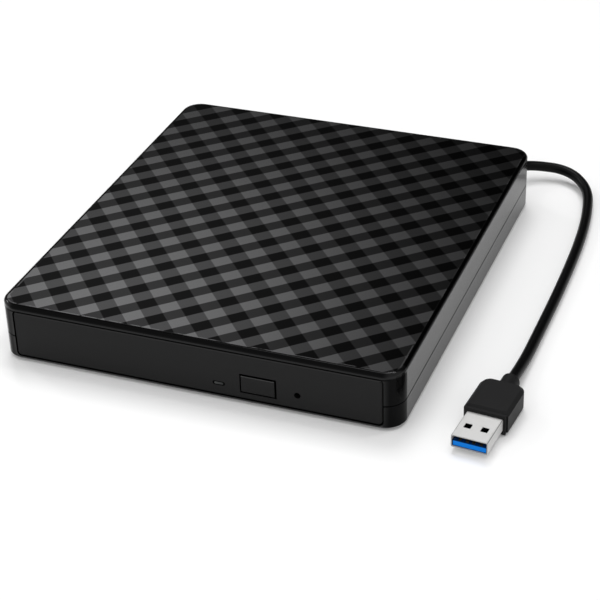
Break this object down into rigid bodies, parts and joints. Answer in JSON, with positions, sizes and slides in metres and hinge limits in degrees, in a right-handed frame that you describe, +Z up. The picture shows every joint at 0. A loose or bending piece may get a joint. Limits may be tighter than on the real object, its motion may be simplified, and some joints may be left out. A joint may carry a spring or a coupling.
{
  "type": "external optical disc drive",
  "caption": "Slim external optical disc drive in glossy black with a plaid printed top, a slide-out tray with a spindle and pickup, and a short attached cable with a flat plug.",
  "frame": {"origin": "middle of the case's footprint, on the surface that its feet stand on", "axes": "+X to the right along the front, +Y from the front to the back of the case, +Z up"},
  "size_m": [0.1729, 0.184, 0.0215],
  "materials": {
    "case_plastic": "black, high gloss with a fine printed plaid on the top",
    "foot_rubber": "matt",
    "circuit_board": "green solder mask",
    "chip_plastic": "moulded chip packages",
    "connector_plastic": "moulded",
    "ribbon_film": "flat flexible film",
    "cable_rubber": "smooth, satin",
    "plug_metal": "bright nickel",
    "plug_blue": "blue insert",
    "contact_metal": "gold plated",
    "plug_plastic": "fine grain",
    "drive_steel": "zinc plated sheet",
    "guide_plastic": "natural moulding",
    "rail_steel": "greased",
    "tray_plastic": "moulded, satin",
    "bezel_plastic": "satin black",
    "lens_green": "smoky clear",
    "button_plastic": "satin black",
    "solenoid_metal": "wound coil in a steel yoke",
    "lever_plastic": "natural moulding",
    "motor_metal": "pressed",
    "rotor_metal": "turned",
    "hub_plastic": "moulded",
    "claw_plastic": "natural moulding",
    "pickup_metal": "die cast",
    "lens_glass": "coated lens in a black carrier",
    "rod_steel": "ground",
    "clamp_plastic": "moulded"
  },
  "bodies": {
    "case": {"top_cover": "case_plastic", "bottom_cover": "case_plastic", "foot_front_left": "foot_rubber", "foot_front_right": "foot_rubber", "foot_rear_left": "foot_rubber", "foot_rear_right": "foot_rubber", "bridge_board": "circuit_board", "bridge_components": "chip_plastic", "sata_connector": "connector_plastic", "drive_connector": "connector_plastic", "connector_board": "circuit_board", "ribbon_cable": "ribbon_film", "strain_relief": "cable_rubber", "cable": "cable_rubber", "plug_shell": "plug_metal", "plug_insert": "plug_blue", "plug_contacts": "contact_metal", "plug_housing": "plug_plastic", "drive_base": "drive_steel", "drive_lid": "drive_steel", "guide_left": "guide_plastic", "guide_right": "guide_plastic", "latch_post": "drive_steel"},
    "tray": {"tray": "tray_plastic", "front_bezel": "bezel_plastic", "led_lens": "lens_green", "tray_board": "circuit_board", "tray_components": "chip_plastic", "latch_solenoid": "solenoid_metal", "mechanism_plate": "drive_steel", "traverse_dampers": "foot_rubber", "spindle_motor": "motor_metal", "guide_rod_main": "rod_steel", "guide_rod_side": "rod_steel", "rod_clamps": "clamp_plastic", "feed_motor": "motor_metal"},
    "rail_left": {"rail_left": "rail_steel"},
    "rail_right": {"rail_right": "rail_steel"},
    "eject_button": {"eject_button": "button_plastic"},
    "latch": {"latch_lever": "lever_plastic"},
    "spindle": {"spindle_rotor": "rotor_metal", "disc_hub": "hub_plastic", "disc_pad": "foot_rubber"},
    "claw_1": {"hub_claw_1": "claw_plastic"},
    "claw_2": {"hub_claw_2": "claw_plastic"},
    "claw_3": {"hub_claw_3": "claw_plastic"},
    "pickup": {"pickup_sled": "pickup_metal"},
    "lens": {"pickup_lens": "lens_glass"},
    "feed_screw": {"lead_screw": "rod_steel"}
  },
  "joints": [
    {"name": "tray_slide", "type": "slide", "parent": "case", "child": "tray", "axis": [0, -1, 0], "range_m": [0, 0.132]},
    {"name": "rail_left_slide", "type": "slide", "parent": "case", "child": "rail_left", "axis": [0, -1, 0], "range_m": [0, 0.066]},
    {"name": "rail_right_slide", "type": "slide", "parent": "case", "child": "rail_right", "axis": [0, -1, 0], "range_m": [0, 0.066]},
    {"name": "eject_button_press", "type": "slide", "parent": "tray", "child": "eject_button", "axis": [0, 1, 0], "range_m": [0, 0.0008], "stiffness_N_per_m": 800},
    {"name": "latch_turn", "type": "hinge", "parent": "tray", "child": "latch", "pos_m": [0.044, -0.056, 0.0077], "axis": [0, 0, 1], "range_deg": [0, 10], "stiffness_Nm_per_rad": 0.002},
    {"name": "spindle_spin", "type": "hinge", "parent": "tray", "child": "spindle", "pos_m": [0, -0.0114, 0.0126], "axis": [0, 0, 1], "continuous": true},
    {"name": "claw_1_press", "type": "slide", "parent": "spindle", "child": "claw_1", "axis": [0.6691, 0.7431, 0], "range_m": [0, 0.0004], "stiffness_N_per_m": 500},
    {"name": "claw_2_press", "type": "slide", "parent": "spindle", "child": "claw_2", "axis": [-0.9781, 0.2079, 0], "range_m": [0, 0.0004], "stiffness_N_per_m": 500},
    {"name": "claw_3_press", "type": "slide", "parent": "spindle", "child": "claw_3", "axis": [0.309, -0.9511, 0], "range_m": [0, 0.0004], "stiffness_N_per_m": 500},
    {"name": "feed_screw_turn", "type": "hinge", "parent": "tray", "child": "feed_screw", "pos_m": [0.0026, -0.04065, 0.008], "axis": [-0.6691, -0.7431, 0], "range_deg": [0, 3850]},
    {"name": "pickup_slide", "type": "slide", "parent": "tray", "child": "pickup", "axis": [-0.6691, -0.7431, 0], "range_m": [0, 0.032]},
    {"name": "lens_focus", "type": "slide", "parent": "pickup", "child": "lens", "axis": [0, 0, 1], "range_m": [-0.0003, 0.0003], "stiffness_N_per_m": 40}
  ],
  "couplings": [
    {"joint": "rail_left_slide", "follows": "tray_slide", "ratio": 0.5},
    {"joint": "rail_right_slide", "follows": "tray_slide", "ratio": 0.5},
    {"joint": "feed_screw_turn", "follows": "pickup_slide", "rad_per_m": 2094.4}
  ]
}
